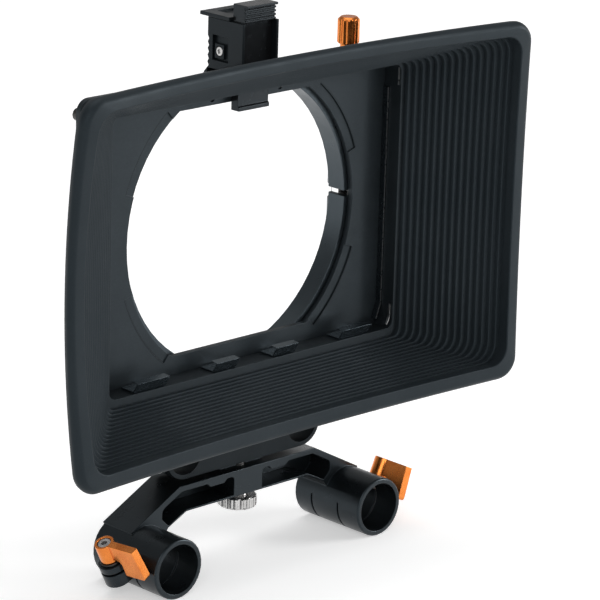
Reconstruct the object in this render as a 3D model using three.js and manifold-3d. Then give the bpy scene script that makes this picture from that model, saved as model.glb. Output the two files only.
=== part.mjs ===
// Matte box: stepped hood, two-filter stage, split lens clamp ring, filter latch and studio rod bracket.
// Millimetres. X runs across the box, +Y to the rear where the lens is, +Z up.
// The origin is midway between the two rod axes, in the plane where the hood meets the filter stage.
import * as THREE from "three";
import { mergeVertices } from "three/addons/utils/BufferGeometryUtils.js";
import Module from "manifold-3d";

const wasm = await Module();
wasm.setup();

// Fits and cutting allowance shared by all pieces
const seatGap = 0.2;
const runningGap = 0.25;
const overrun = 1;
const weldMerge = 0.001;

// Facets of round shapes
const fineFacets = 64;
const roundFacets = 30;
const smallFacets = 12;
const hexagonSides = 6;
const cornerFacets = 4;

// Filters and lens
const filterWidth = 143.5;
const filterHeight = 101.6;
const filterThickness = 4;
const filterCount = 2;
const filterPlay = 1;
const filterSideClearance = 0.75;
const filterTopClearance = 1;
const filterBottomClearance = 1.9;
const lensDiameter = 110;
const lensClearance = 0.2;

// Filter stage frame and back plate
const frameSideWall = 7.5;
const frameTopWall = 5.9;
const frameBottomWall = 7;
const frameCornerRadius = 3;
const frameOuterRadius = 5;
const plateThickness = 2.4;
const plateOpeningMargin = 2;
const plateLipRise = 7;
const plateTopLipDrop = 4.9;
const lobeReach = 3.8;
const lobeDepth = 0.6;
const lobeSweepShare = 0.09;
const lobeTurnShares = [0.097, 0.403, 0.597, 0.903];
const notchRadius = 1.3;
const notchSpacing = 34;
const notchDrop = 2.4;

// Hood
const hoodSteps = 16;
const stepOutSide = 2.03;
const stepOutTop = 0.78;
const stepOutBottom = 0.7;
const firstStepBottom = 3.2;
const stepDepth = 1.57;
const hoodDepth = 27.1;
const hoodSideScoop = 5;
const hoodTopScoop = 5.2;
const scoopDrop = 6;
const hoodBowSide = 3;
const hoodBowEnds = 1.25;
const openingRadius = 3;
const rimInnerRadius = 7;
const rimOuterRadius = 7.6;
const rimWidthSide = 7;
const rimWidthTop = 5.5;
const rimWidthBottom = 5.6;
const rimBand = 3;
const rimBandTaper = 0.4;
const rimInnerChamfer = 0.4;
const rimOuterChamfer = 0.9;
const rimStepIn = 1.8;
const hoodWallSide = 6.8;
const hoodWallTop = 2.7;
const hoodSkinRadius = 8;
const hoodFlangeThickness = 2.4;
const hoodFlangeReach = 0.8;
const edgeFacets = 6;

// Screws through the back plate and the frame into the hood
const bodyScrewRadius = 1.5;
const bodyScrewHeadRadius = 2.4;
const bodyScrewHeadHeight = 1.9;
const bodyScrewBite = 1.1;
const bodyScrewInset = 2.5;
const bodyScrewRise = 6;
const socketShare = 0.5;
const socketDepthShare = 0.6;

// Side strips and bottom clips that hold a filter
const stripThickness = 0.4;
const stripWidth = 2.3;
const stripBottomRise = 2.4;
const stripTopDrop = 10.1;
const stripFoot = 6;
const stripHook = 2.2;
const clipThickness = 0.5;
const clipBase = 7.3;
const clipRear = 8.2;
const clipRise = 3.9;
const clipLean = 2.2;
const clipTopLeg = 3.4;
const clipTopRise = 0.4;
const innerClipWidthShare = 0.157;
const innerClipPlaceShare = 0.21;
const outerClipWidthShare = 0.215;
const outerClipPlaceShare = 0.72;

// Lens clamp ring
const ringWall = 2.2;
const ringLength = 9;
const ringSplit = 2.2;
const ringSplitRise = 1.3;
const ringBoreChamfer = 0.6;
const ringEarRadius = 4.2;
const ringEarThickness = 4;
const ringEarReach = 2.6;
const ringEarTurnShares = [0.14, 0.36, 0.62];
const ringScrewRadius = 1.5;
const ringScrewHeadRadius = 2.5;
const ringScrewHeadHeight = 1.8;
const ringScrewBite = 1.5;
const clampLugRadius = 6.2;
const clampLugHeight = 13;
const clampLugRecess = 3.5;
const guideRadius = 5.2;
const guideHeight = 7;
const guideDrop = 3.9;

// Clamp screw and its fluted knob
const clampScrewRadius = 2;
const clampScrewReach = 6.3;
const clampScrewSetback = 8.9;
const knobDiameter = 8.5;
const knobHeight = 10.5;
const knobCollarHeight = 3.4;
const knobChamfer = 1.1;
const knobFlutes = 12;
const knobFluteRadius = 0.8;
const knobCollarRadius = 3.15;

// Filter latch on top
const latchFront = 2;
const latchHalfWidth = 9;
const latchHeight = 19;
const latchWall = 1.1;
const latchHookDrop = 3.4;
const latchFlare = 1.8;
const latchRidges = 5;
const latchRidgePitch = 2.5;
const latchRidgeDepth = 0.7;
const latchRidgeRise = 1;
const latchEarReach = 6.4;
const latchEarThickness = 1.8;
const latchEarRear = 8.6;
const latchEarRadius = 2;
const earScrewRadius = 1;
const earScrewHeadRadius = 1.7;
const earScrewHeadHeight = 1.1;
const earScrewBite = 2.6;
const capThickness = 1.4;
const capOverhang = 4;
const capLip = 0.4;
const capRecessDepth = 0.8;
const capRecessHalfWidth = 4.4;
const capRecessInset = 1.6;
const latchRecessDepth = 1.4;
const latchRecessHeight = 9.4;
const latchRecessWidth = 8.4;
const latchRecessInset = 2.8;
const latchRecessRise = 3.4;
const latchBossInset = 0.8;
const latchBossRaise = 1;
const latchBossShare = 0.58;
const latchScrewRadius = 1.1;
const latchScrewHeadRadius = 1.7;
const latchScrewHeadHeight = 0.8;
const latchScrewBite = 1.3;

// Latch slide with its thumb piece, tongue and spring
const slideFace = 4.6;
const tongueFace = 5.2;
const tongueReach = 7.9;
const tongueLip = 0.6;
const tongueLipHeight = 1.4;
const thumbFace = 2.2;
const thumbHeight = 5.6;
const thumbRise = 6.7;
const thumbFlange = 0.9;
const thumbFlangeReach = 1;
const thumbGrooves = 4;
const thumbGrooveDepth = 0.7;
const thumbGrooveShare = 0.45;
const neckHalfWidth = 1.6;
const lugThickness = 1.8;
const springLugRise = 5;
const pocketHalfWidth = 3.7;
const pocketDepth = 7.4;
const pocketWall = 1.1;
const springRadius = 2.6;
const springWire = 0.6;
const springTurns = 6;
const springStepsPerTurn = 10;
const springSides = 5;

// Foot with two bores for lightweight rods
const lwsRodSpacing = 60;
const lwsRodBore = 15.3;
const lwsRodDrop = 84;
const lugWall = 1.8;
const footFront = 5;
const footFrontThickness = 3;
const footRear = 18;
const footFlareWidth = 45.5;
const footFlareRise = 6.75;
const footShoulderWidth = 52;
const footShoulderRise = 14.75;
const footWaist = 44;
const footTabWidth = 14;
const footTabHeight = 10;
const footTabThickness = 4;
const footScrewRadius = 1.5;
const footScrewHeadRadius = 2.6;
const footScrewHeadHeight = 1.9;
const footScrewBite = 1.5;
const footWindowWidth = 24;
const footWindowHeight = 9;
const footWindowRise = 14.15;
const footWindowRadius = 3;

// Studio rod bracket
const rodSpacing = 104;
const rodBore = 19.1;
const barrelWall = 2.05;
const barrelChamfer = 0.5;
const barrelFront = -16.4;
const bracketFront = 2.5;
const bracketRear = 18.6;
const bracketTop = 23;
const barHeight = 10.5;
const topBendInset = 17;
const bottomBendInset = 20.6;
const wingOverReach = 6.8;
const wingDrop = 12.7;
const wingUnderInset = 11.7;
const wingUnderDrop = 4.4;
const wingInnerInset = 8.4;
const wingInnerDrop = 9;
const bracketPocketDepth = 11;
const skinThickness = 2.2;
const webHalfWidth = 7.3;
const pocketRail = 0.8;
const skinLumpNear = 10.8;
const skinLumpFar = 21;
const skinLumpDrop = 1.4;
const skinLumpSlope = 1.6;
const pocketEndInset = 8.5;
const pocketEndHeight = 3.6;
const pocketCornerRadius = 1.6;
const padHalfWidth = 11;
const padInset = 4.5;
const padHeight = 1.05;

// Rod clamps on the bracket: bosses, pinch slots, and the slits that free the clamp band
const clampAxisTilt = 25.5;
const clampAxisGap = 2.64;
const clampAxisY = 1.7;
const bossRadius = 5.3;
const bossTop = 9.6;
const bossBottom = 0.6;
const pinchGap = 0.9;
const pinchHeight = 6.4;
const bandFront = -5.1;
const bandRear = 9.2;
const slitWidth = 0.7;
const bandHingeAngle = 174;

// Levers, their screws and washers
const leverScrewRadius = 1.6;
const leverScrewHeadRadius = 2.5;
const leverScrewHeadHeight = 2.8;
const leverScrewInset = 0.6;
const leverHeadSink = 0.3;
const washerThickness = 0.8;
const washerRadius = 4.2;
const leverTop = 18.4;
const leverHubRadius = 3.7;
const leverArmHeight = 6.5;
const leverReach = 16.7;
const leverTopCut = 1.6;
const leverThickness = 3.2;
const paddleDrop = 13.1;
const paddleLength = 9.7;
const paddleCorner = 1.3;
const paddleSweep = 2.2;
const leverRestAngle = 6;

// Lock wheel and stud that hold the foot on the bracket
const wheelDiameter = 15;
const wheelSetback = 6;
const wheelThickness = 4.8;
const wheelDrop = 1.4;
const wheelChamfer = 0.7;
const wheelFlutes = 20;
const wheelFluteRadius = 0.95;
const wheelCollarRadius = 4;
const studRadius = 2.5;
const studInset = 0.8;
const studBite = 7.6;

// Places worked out from the sizes above, from the studio rods up
const rodX = rodSpacing / 2;
const barrelRadius = rodBore / 2 + barrelWall;
const clampAxisOffset = barrelRadius + clampAxisGap;
const bracketBottom = bracketTop - barHeight;
const topBend = rodX - topBendInset;
const bottomBend = rodX - bottomBendInset;
const wingReach = rodX + wingOverReach;
const wingUnderReach = rodX - wingUnderInset;
const wingInnerReach = rodX - wingInnerInset;
const pocketEnd = rodX - pocketEndInset;
const footBottom = bracketTop + padHeight + seatGap;
const lwsX = lwsRodSpacing / 2;
const lwsHeight = footBottom + lwsRodBore / 2 + lugWall;
const opticalHeight = lwsHeight + lwsRodDrop;
const ringBoreRadius = lensDiameter / 2 + lensClearance;
const ringOuterRadius = ringBoreRadius + ringWall;
const ringReach = ringOuterRadius + seatGap;
const plateOpening = 2 * (ringBoreRadius + plateOpeningMargin);
const channelHalfWidth = filterWidth / 2 + filterSideClearance;
const channelTop = opticalHeight + filterHeight / 2 + filterTopClearance;
const channelBottom = opticalHeight - filterHeight / 2 - filterBottomClearance;
const plateFront = filterCount * filterThickness + filterPlay;
const plateRear = plateFront + plateThickness;
const frameRear = plateFront - seatGap;
const frameHalfWidth = channelHalfWidth + frameSideWall;
const frameTop = Math.max(channelTop + frameTopWall, opticalHeight + ringReach);
const frameBottom = Math.min(channelBottom - frameBottomWall, opticalHeight - ringReach);
const ringFront = plateRear + seatGap;
const ringRear = ringFront + ringLength;
const splitHeight = opticalHeight + ringSplitRise;
const clampScrewX = ringOuterRadius + clampScrewReach;
const clampScrewY = ringFront + clampScrewSetback;
const guideTop = frameTop - guideDrop;
const collarBottom = guideTop + seatGap;
const knobBottom = collarBottom + knobCollarHeight;
const knobTop = knobBottom + knobHeight;
const latchBase = frameTop + seatGap;
const latchTop = latchBase + latchHeight;
const latchRear = ringRear + seatGap;
const latchRidgeStart = latchBase + latchRidgeRise;
const latchRecessFront = latchRear - latchRecessInset - latchRecessWidth;
const latchRecessBottom = latchBase + latchRecessRise;
const slideChannelHalfWidth = latchHalfWidth - latchWall;
const slideRear = frameRear;
const slideChannelRear = slideRear + runningGap;
const pocketFront = slideChannelRear + pocketWall;
const pocketRear = pocketFront + pocketDepth;
const tongueBottom = channelTop - tongueReach;
const thumbTop = latchTop + thumbRise;
const lugBottom = latchBase + springLugRise;
const lugTop = lugBottom + lugThickness;
const stripTop = channelTop - stripTopDrop;
const footTop = frameBottom - seatGap;
const studY = bracketFront + wheelSetback;
const wheelTop = bracketBottom - wheelDrop;
const wheelBottom = wheelTop - wheelThickness;
const studTop = footBottom + studBite;
const leverHubBottom = bossTop + washerThickness + 2 * seatGap;
const fullTurn = 2 * Math.PI;

// Finishes
const hoodPlastic = new THREE.MeshStandardMaterial({ color: 0x2e3235, roughness: 0.85, metalness: 0 });
const anodisedBlack = new THREE.MeshStandardMaterial({ color: 0x1b1c1e, roughness: 0.5, metalness: 0.6 });
const anodisedOrange = new THREE.MeshStandardMaterial({ color: 0xd86a1e, roughness: 0.35, metalness: 0.8 });
const blackPlastic = new THREE.MeshStandardMaterial({ color: 0x17181a, roughness: 0.4, metalness: 0 });
const brightSteel = new THREE.MeshStandardMaterial({ color: 0xb8babd, roughness: 0.3, metalness: 1 });
const blackSteel = new THREE.MeshStandardMaterial({ color: 0x303236, roughness: 0.35, metalness: 0.9 });
const springSteel = new THREE.MeshStandardMaterial({ color: 0x5a5d60, roughness: 0.35, metalness: 0.9 });

// Solids from closed geometries, and ways of combining and placing them

function solidOf(geometry) {
  const flat = geometry.index ? geometry.toNonIndexed() : geometry.clone();
  const bare = new THREE.BufferGeometry();
  bare.setAttribute("position", flat.getAttribute("position"));
  const merged = mergeVertices(bare, weldMerge);
  return new wasm.Manifold(
    new wasm.Mesh({
      numProp: 3,
      vertProperties: new Float32Array(merged.attributes.position.array),
      triVerts: new Uint32Array(merged.index.array),
    }),
  );
}

function geometryOf(solid) {
  const made = solid.getMesh();
  const positions = new Float32Array(made.numVert * 3);
  for (let i = 0; i < made.numVert; i += 1) {
    positions.set(made.vertProperties.subarray(i * made.numProp, i * made.numProp + 3), i * 3);
  }
  const geometry = new THREE.BufferGeometry();
  geometry.setAttribute("position", new THREE.BufferAttribute(positions, 3));
  geometry.setIndex(new THREE.BufferAttribute(new Uint32Array(made.triVerts), 1));
  return geometry;
}

function meshOf(name, solid, material) {
  const geometry = geometryOf(solid);
  geometry.computeVertexNormals();
  const mesh = new THREE.Mesh(geometry, material);
  mesh.name = name;
  return mesh;
}

function join(first, ...others) {
  return others.reduce((whole, piece) => whole.add(piece), first);
}

function cut(first, ...tools) {
  return tools.reduce((whole, tool) => whole.subtract(tool), first);
}

function placed(solid, matrix) {
  const geometry = geometryOf(solid);
  geometry.applyMatrix4(matrix);
  return solidOf(geometry);
}

function moved(solid, x, y, z) {
  return placed(solid, new THREE.Matrix4().makeTranslation(x, y, z));
}

// The solid reflected in the plane X = 0, with its faces turned to point out again
function mirrored(solid) {
  const geometry = geometryOf(solid);
  geometry.scale(-1, 1, 1);
  const corners = geometry.index.array;
  for (let i = 0; i < corners.length; i += 3) {
    [corners[i + 1], corners[i + 2]] = [corners[i + 2], corners[i + 1]];
  }
  return solidOf(geometry);
}

function bothSides(solid) {
  return [solid, mirrored(solid)];
}

function block(x0, x1, y0, y1, z0, z1) {
  const geometry = new THREE.BoxGeometry(x1 - x0, y1 - y0, z1 - z0);
  geometry.translate((x0 + x1) / 2, (y0 + y1) / 2, (z0 + z1) / 2);
  return solidOf(geometry);
}

function outlineOf(points) {
  return new THREE.Shape(points.map(([a, b]) => new THREE.Vector2(a, b)));
}

function extruded(shape, length, segments) {
  return new THREE.ExtrudeGeometry(shape, {
    depth: length,
    bevelEnabled: false,
    curveSegments: segments,
  });
}

// An outline drawn in X and Z, extruded along Y from front to rear
function extrudeAlongY(shape, front, rear, segments = cornerFacets) {
  const geometry = extruded(shape, rear - front, segments);
  geometry.rotateX(Math.PI / 2);
  geometry.translate(0, rear, 0);
  return solidOf(geometry);
}

// An outline drawn in Y and Z, extruded along X from left to right
function extrudeAlongX(shape, left, right) {
  const geometry = extruded(shape, right - left, cornerFacets);
  geometry.rotateX(Math.PI / 2);
  geometry.rotateZ(Math.PI / 2);
  geometry.translate(left, 0, 0);
  return solidOf(geometry);
}

// An outline drawn in X and Y, extruded along Z from bottom to top
function extrudeAlongZ(shape, bottom, top) {
  const geometry = extruded(shape, top - bottom, cornerFacets);
  geometry.translate(0, 0, bottom);
  return solidOf(geometry);
}

// A solid of revolution about Y; the profile runs up in [radius, height] pairs
function turned(profile, facets) {
  return new THREE.LatheGeometry(
    profile.map(([radius, height]) => new THREE.Vector2(radius, height)),
    facets,
  );
}

function rodAlongZ(radius, x, y, z0, z1, facets) {
  const geometry = turned([[0, z0], [radius, z0], [radius, z1], [0, z1]], facets);
  geometry.rotateX(Math.PI / 2);
  geometry.translate(x, y, 0);
  return solidOf(geometry);
}

function rodAlongY(radius, x, z, y0, y1, facets) {
  const geometry = turned([[0, y0], [radius, y0], [radius, y1], [0, y1]], facets);
  geometry.translate(x, 0, z);
  return solidOf(geometry);
}

function roundedRectangle(x0, x1, z0, z1, radius) {
  const shape = new THREE.Shape();
  shape.moveTo(x0 + radius, z0);
  shape.absarc(x1 - radius, z0 + radius, radius, -Math.PI / 2, 0, false);
  shape.absarc(x1 - radius, z1 - radius, radius, 0, Math.PI / 2, false);
  shape.absarc(x0 + radius, z1 - radius, radius, Math.PI / 2, Math.PI, false);
  shape.absarc(x0 + radius, z0 + radius, radius, Math.PI, (3 * Math.PI) / 2, false);
  return shape;
}

// A ring sector about the optical axis; turns are shares of a full turn from +X
function sector(innerRadius, outerRadius, fromTurn, toTurn, front, rear) {
  const shape = new THREE.Shape();
  shape.absarc(0, 0, outerRadius, fromTurn * fullTurn, toTurn * fullTurn, false);
  shape.absarc(0, 0, innerRadius, toTurn * fullTurn, fromTurn * fullTurn, true);
  const segments = Math.ceil((toTurn - fromTurn) * fineFacets);
  return moved(extrudeAlongY(shape, front, rear, segments), 0, 0, opticalHeight);
}

// A socket-head screw along +Y: the head's top is at zero and its shank runs to -Y
function socketScrew(radius, headRadius, headHeight, length) {
  const socketRadius = headRadius * socketShare;
  const socketDepth = headHeight * socketDepthShare;
  const body = turned(
    [[0, -headHeight - length], [radius, -headHeight - length], [radius, -headHeight],
      [headRadius, -headHeight], [headRadius, 0], [0, 0]],
    smallFacets,
  );
  const socket = new THREE.CylinderGeometry(socketRadius, socketRadius, socketDepth + overrun, hexagonSides);
  socket.translate(0, (overrun - socketDepth) / 2, 0);
  return cut(solidOf(body), solidOf(socket));
}

// Turns a solid made along +Y upright, or to point to the right
function upright(solid) {
  return placed(solid, new THREE.Matrix4().makeRotationX(Math.PI / 2));
}

function pointingRight(solid) {
  return placed(solid, new THREE.Matrix4().makeRotationZ(-Math.PI / 2));
}

// Hood: rings of a bowed, rounded rectangle, each scooped in the share of its depth

function cornerArc(x, z, radius, quarter) {
  const arc = [];
  for (let i = 0; i <= cornerFacets; i += 1) {
    const angle = ((quarter + i / cornerFacets) * Math.PI) / 2;
    arc.push([x + radius * Math.cos(angle), z + radius * Math.sin(angle)]);
  }
  return arc;
}

function flatRing({ side, bottom, top, radius }) {
  const arcs = [
    cornerArc(side - radius, top - radius, radius, 0),
    cornerArc(radius - side, top - radius, radius, 1),
    cornerArc(radius - side, bottom + radius, radius, 2),
    cornerArc(side - radius, bottom + radius, radius, 3),
  ];
  return arcs.flatMap((arc, index) => {
    const start = arc[arc.length - 1];
    const end = arcs[(index + 1) % arcs.length][0];
    const edge = [];
    for (let i = 1; i < edgeFacets; i += 1) {
      const share = i / edgeFacets;
      edge.push([start[0] + (end[0] - start[0]) * share, start[1] + (end[1] - start[1]) * share]);
    }
    return [...arc, ...edge];
  });
}

function hoodRing(outline, depth) {
  const { side, bottom, top } = outline;
  const middle = (top + bottom) / 2;
  const deep = depth / hoodDepth;
  const scoopHeight = opticalHeight - scoopDrop;
  return flatRing(outline).map(([x, z]) => {
    const across = x / side;
    const up = (z - middle) / (top - middle);
    const scooped = (z - scoopHeight) / (top - scoopHeight);
    const scoop = hoodTopScoop * scooped * scooped - hoodSideScoop * (1 - across * across);
    return [
      x + across * hoodBowSide * deep * (1 - up * up),
      -depth - scoop * deep,
      z + up * hoodBowEnds * deep * (1 - across * across),
    ];
  });
}

// The outline of step number n, with n = 1 at the rear opening
function stepOutline(n) {
  return {
    side: channelHalfWidth + stepOutSide * n,
    bottom: channelBottom - firstStepBottom - stepOutBottom * (n - 1),
    top: channelTop + stepOutTop * n,
    radius: openingRadius + ((rimInnerRadius - openingRadius) * n) / hoodSteps,
  };
}

function grown(outline, side, bottom, top, radius) {
  return { side: outline.side + side, bottom: outline.bottom - bottom, top: outline.top + top, radius };
}

// The hood's wall, as rings in order: up the steps inside, over the rim, and back along the skin
function hoodSection() {
  const section = [];
  for (let n = 1; n < hoodSteps; n += 1) {
    section.push(hoodRing(stepOutline(n), n === 1 ? seatGap : stepDepth * (n - 1)));
    section.push(hoodRing(stepOutline(n), stepDepth * n));
  }
  const inner = stepOutline(hoodSteps);
  const outer = grown(inner, rimWidthSide, rimWidthBottom, rimWidthTop, rimOuterRadius);
  const shrunk = (by) => grown(outer, -by, -by, -by, rimOuterRadius - by);
  const rear = stepOutline(1);
  const flange = {
    side: frameHalfWidth + hoodFlangeReach,
    bottom: frameBottom,
    top: frameTop,
    radius: frameOuterRadius,
  };
  section.push(
    hoodRing(inner, stepDepth * (hoodSteps - 1)),
    hoodRing(inner, hoodDepth - rimInnerChamfer),
    hoodRing(grown(inner, rimInnerChamfer, rimInnerChamfer, rimInnerChamfer, rimInnerRadius), hoodDepth),
    hoodRing(shrunk(rimOuterChamfer), hoodDepth),
    hoodRing(outer, hoodDepth - rimOuterChamfer),
    hoodRing(shrunk(rimBandTaper), hoodDepth - rimBand),
    hoodRing(shrunk(rimBandTaper + rimStepIn), hoodDepth - rimBand),
    hoodRing(grown(rear, hoodWallSide, hoodWallTop, hoodWallTop, hoodSkinRadius), hoodFlangeThickness),
    hoodRing(flange, hoodFlangeThickness),
    hoodRing(flange, seatGap),
  );
  return section;
}

function hoodGeometry() {
  const section = hoodSection();
  const points = section[0].length;
  const index = [];
  section.forEach((_, ring) => {
    const next = (ring + 1) % section.length;
    for (let i = 0; i < points; i += 1) {
      const j = (i + 1) % points;
      const a = ring * points + i;
      const b = ring * points + j;
      const c = next * points + i;
      const d = next * points + j;
      index.push(a, d, b, a, c, d);
    }
  });
  const geometry = new THREE.BufferGeometry();
  geometry.setAttribute("position", new THREE.BufferAttribute(new Float32Array(section.flat(2)), 3));
  geometry.setIndex(index);
  return geometry;
}

// Screws along Y: their places, and one hole at each
function bodyScrewPlaces() {
  const x = frameHalfWidth - bodyScrewInset;
  const heights = [frameTop - bodyScrewRise, (frameTop + frameBottom) / 2, frameBottom + bodyScrewRise];
  return [-x, x].flatMap((place) => heights.map((height) => [place, height]));
}

function holesAt(places, radius, front, rear) {
  return places.map(([x, z]) => rodAlongY(radius + runningGap, x, z, front, rear, smallFacets));
}

function hood() {
  const holes = holesAt(bodyScrewPlaces(), bodyScrewRadius, -bodyScrewBite - seatGap, overrun);
  return meshOf("hood", cut(solidOf(hoodGeometry()), ...holes), hoodPlastic);
}

function stageOutline() {
  return roundedRectangle(-frameHalfWidth, frameHalfWidth, frameBottom, frameTop, frameOuterRadius);
}

function stageFrame() {
  const channel = roundedRectangle(
    -channelHalfWidth, channelHalfWidth, channelBottom, channelTop, frameCornerRadius,
  );
  const slot = block(
    -slideChannelHalfWidth, slideChannelHalfWidth, slideFace - runningGap, frameRear + overrun,
    channelTop - overrun, frameTop + overrun,
  );
  const earHoles = earScrewPlaces().map(([x, y]) =>
    rodAlongZ(
      earScrewRadius + runningGap, x, y,
      frameTop - earScrewBite - runningGap, frameTop + overrun, smallFacets,
    ),
  );
  const solid = cut(
    extrudeAlongY(stageOutline(), 0, frameRear),
    extrudeAlongY(channel, -overrun, frameRear + overrun),
    slot,
    ...earHoles,
    ...holesAt(bodyScrewPlaces(), bodyScrewRadius, -overrun, frameRear + overrun),
  );
  return meshOf("stage_frame", solid, anodisedBlack);
}

// The lens opening: a circle cut off straight below by a lip above the channel floor, and above
function plateOpeningCut() {
  const radius = plateOpening / 2;
  const round = rodAlongY(radius, 0, opticalHeight, plateFront - overrun, plateRear + overrun, fineFacets);
  const front = plateFront - 2 * overrun;
  const rear = plateRear + 2 * overrun;
  const bottom = opticalHeight - radius - overrun;
  const top = opticalHeight + radius + overrun;
  return cut(
    round,
    block(-radius, radius, front, rear, bottom, channelBottom + plateLipRise),
    block(-radius, radius, front, rear, channelTop - plateTopLipDrop, top),
  );
}

function backPlate() {
  const radius = plateOpening / 2;
  const front = plateFront - overrun;
  const rear = plateRear + overrun;
  const lobes = lobeTurnShares.map((turn) =>
    sector(
      radius - overrun, radius + lobeReach, turn - lobeSweepShare / 2, turn + lobeSweepShare / 2,
      front, plateFront + lobeDepth,
    ),
  );
  const notches = [-1, 1].map((side) =>
    rodAlongY(
      notchRadius, (side * notchSpacing) / 2, channelTop - notchDrop, front, plateFront + lobeDepth,
      smallFacets,
    ),
  );
  const solid = cut(
    extrudeAlongY(stageOutline(), plateFront, plateRear),
    plateOpeningCut(),
    ...lobes,
    ...notches,
    ...holesAt(bodyScrewPlaces(), bodyScrewRadius, front, rear),
    ...holesAt(ringEarPlaces(), ringScrewRadius, plateRear - ringScrewBite - runningGap, rear),
    ...holesAt(footScrewPlaces(), footScrewRadius, plateRear - footScrewBite - runningGap, rear),
  );
  return meshOf("back_plate", solid, anodisedBlack);
}

// Copies of one screw, each a piece of its own
function screwSet(name, screw, places, headTop) {
  return places.map(([x, z], i) => meshOf(`${name}_${i + 1}`, moved(screw, x, headTop, z), blackSteel));
}

function bodyScrews() {
  const screw = socketScrew(
    bodyScrewRadius, bodyScrewHeadRadius, bodyScrewHeadHeight, plateRear + seatGap + bodyScrewBite,
  );
  return screwSet("body_screw", screw, bodyScrewPlaces(), plateRear + seatGap + bodyScrewHeadHeight);
}

// A thin strip on a side wall of the filter channel, with its foot hooked inward
function sideStrip() {
  const x = channelHalfWidth - seatGap;
  const inner = x - stripThickness;
  const hook = x - stripHook;
  const bottom = channelBottom + stripBottomRise;
  const outline = outlineOf([
    [x, stripTop], [inner, stripTop], [inner, bottom + stripFoot],
    [hook - stripThickness, bottom], [hook, bottom], [x, bottom + stripFoot],
  ]);
  return extrudeAlongY(outline, frameRear - stripWidth, frameRear);
}

function sideStrips() {
  const [right, left] = bothSides(sideStrip());
  return [meshOf("side_strip_left", left, springSteel), meshOf("side_strip_right", right, springSteel)];
}

// A bent spring clip on the floor of the filter channel: base leg, rising leg and top leg
function filterClip(name, placeShare, widthShare) {
  const centre = placeShare * channelHalfWidth;
  const width = widthShare * channelHalfWidth;
  const floor = channelBottom + seatGap;
  const front = clipRear - clipBase;
  const knee = [front - clipLean, floor + clipRise];
  const tip = [knee[0] + clipTopLeg, knee[1] + clipTopRise];
  const outline = outlineOf([
    [clipRear, floor], [clipRear, floor + clipThickness],
    [front + clipThickness / 2, floor + clipThickness],
    [knee[0] + clipThickness, knee[1] - clipThickness / 2],
    [tip[0], tip[1] - clipThickness / 2], tip, knee, [front, floor],
  ]);
  const solid = extrudeAlongX(outline, centre - width / 2, centre + width / 2);
  return meshOf(`filter_clip_${name}`, solid, blackSteel);
}

function filterClips() {
  return [
    filterClip("outer_left", -outerClipPlaceShare, outerClipWidthShare),
    filterClip("inner_left", -innerClipPlaceShare, innerClipWidthShare),
    filterClip("inner_right", innerClipPlaceShare, innerClipWidthShare),
    filterClip("outer_right", outerClipPlaceShare, outerClipWidthShare),
  ];
}

function ringEarPlaces() {
  const radius = ringOuterRadius + ringEarReach;
  return ringEarTurnShares.map((turn) => {
    const angle = turn * fullTurn;
    return [radius * Math.cos(angle), opticalHeight + radius * Math.sin(angle)];
  });
}

// A round post about the clamp screw's axis, with its web forward to the ring's front plane
function screwPost(radius, webLeft, bottom, top) {
  const post = rodAlongZ(radius, clampScrewX, clampScrewY, bottom, top, roundFacets);
  return join(post, block(webLeft, clampScrewX + radius, ringFront, clampScrewY, bottom, top));
}

// The two lugs at the ring's split, and the leg that carries the clamp screw's upper guide
function clampLugs() {
  const lugs = screwPost(
    clampLugRadius, ringBoreRadius, splitHeight - clampLugHeight, splitHeight + clampLugHeight,
  );
  const left = clampScrewX - guideRadius;
  const guide = screwPost(guideRadius, left, guideTop - guideHeight, guideTop);
  const leg = block(
    left, clampScrewX + guideRadius, ringFront, ringFront + ringEarThickness, splitHeight, guideTop,
  );
  return join(lugs, guide, leg);
}

function clampRing() {
  const front = ringFront - overrun;
  const lugRear = clampScrewY + clampLugRadius + overrun;
  const tube = turned(
    [[0, ringFront], [ringOuterRadius, ringFront], [ringOuterRadius, ringRear], [0, ringRear]],
    fineFacets,
  );
  tube.translate(0, 0, opticalHeight);
  const flare = ringBoreRadius + ringBoreChamfer;
  const bore = turned(
    [[0, front], [ringBoreRadius, front], [ringBoreRadius, ringRear - ringBoreChamfer], [flare, ringRear],
      [flare, lugRear], [0, lugRear]],
    fineFacets,
  );
  bore.translate(0, 0, opticalHeight);
  const ears = ringEarPlaces().map(([x, z]) =>
    rodAlongY(ringEarRadius, x, z, ringFront, ringFront + ringEarThickness, smallFacets),
  );
  const reach = clampScrewX + 2 * clampLugRadius;
  const split = block(
    ringBoreRadius - ringWall, reach, front, lugRear,
    splitHeight - ringSplit / 2, splitHeight + ringSplit / 2,
  );
  const lugRecess = block(
    ringOuterRadius, reach, front, lugRear,
    splitHeight - ringSplit / 2 - clampLugRecess, splitHeight,
  );
  const screwHole = rodAlongZ(
    clampScrewRadius + runningGap, clampScrewX, clampScrewY,
    splitHeight - clampLugHeight - overrun, frameTop, smallFacets,
  );
  const solid = cut(
    join(solidOf(tube), ...ears, clampLugs()),
    solidOf(bore),
    split,
    lugRecess,
    screwHole,
    ...holesAt(ringEarPlaces(), ringScrewRadius, front, ringRear),
  );
  return meshOf("clamp_ring", solid, anodisedBlack);
}

function ringScrews() {
  const screw = socketScrew(
    ringScrewRadius, ringScrewHeadRadius, ringScrewHeadHeight,
    ringEarThickness + ringScrewBite + 2 * seatGap,
  );
  const headTop = ringFront + ringEarThickness + seatGap + ringScrewHeadHeight;
  return screwSet("ring_screw", screw, ringEarPlaces(), headTop);
}

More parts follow.
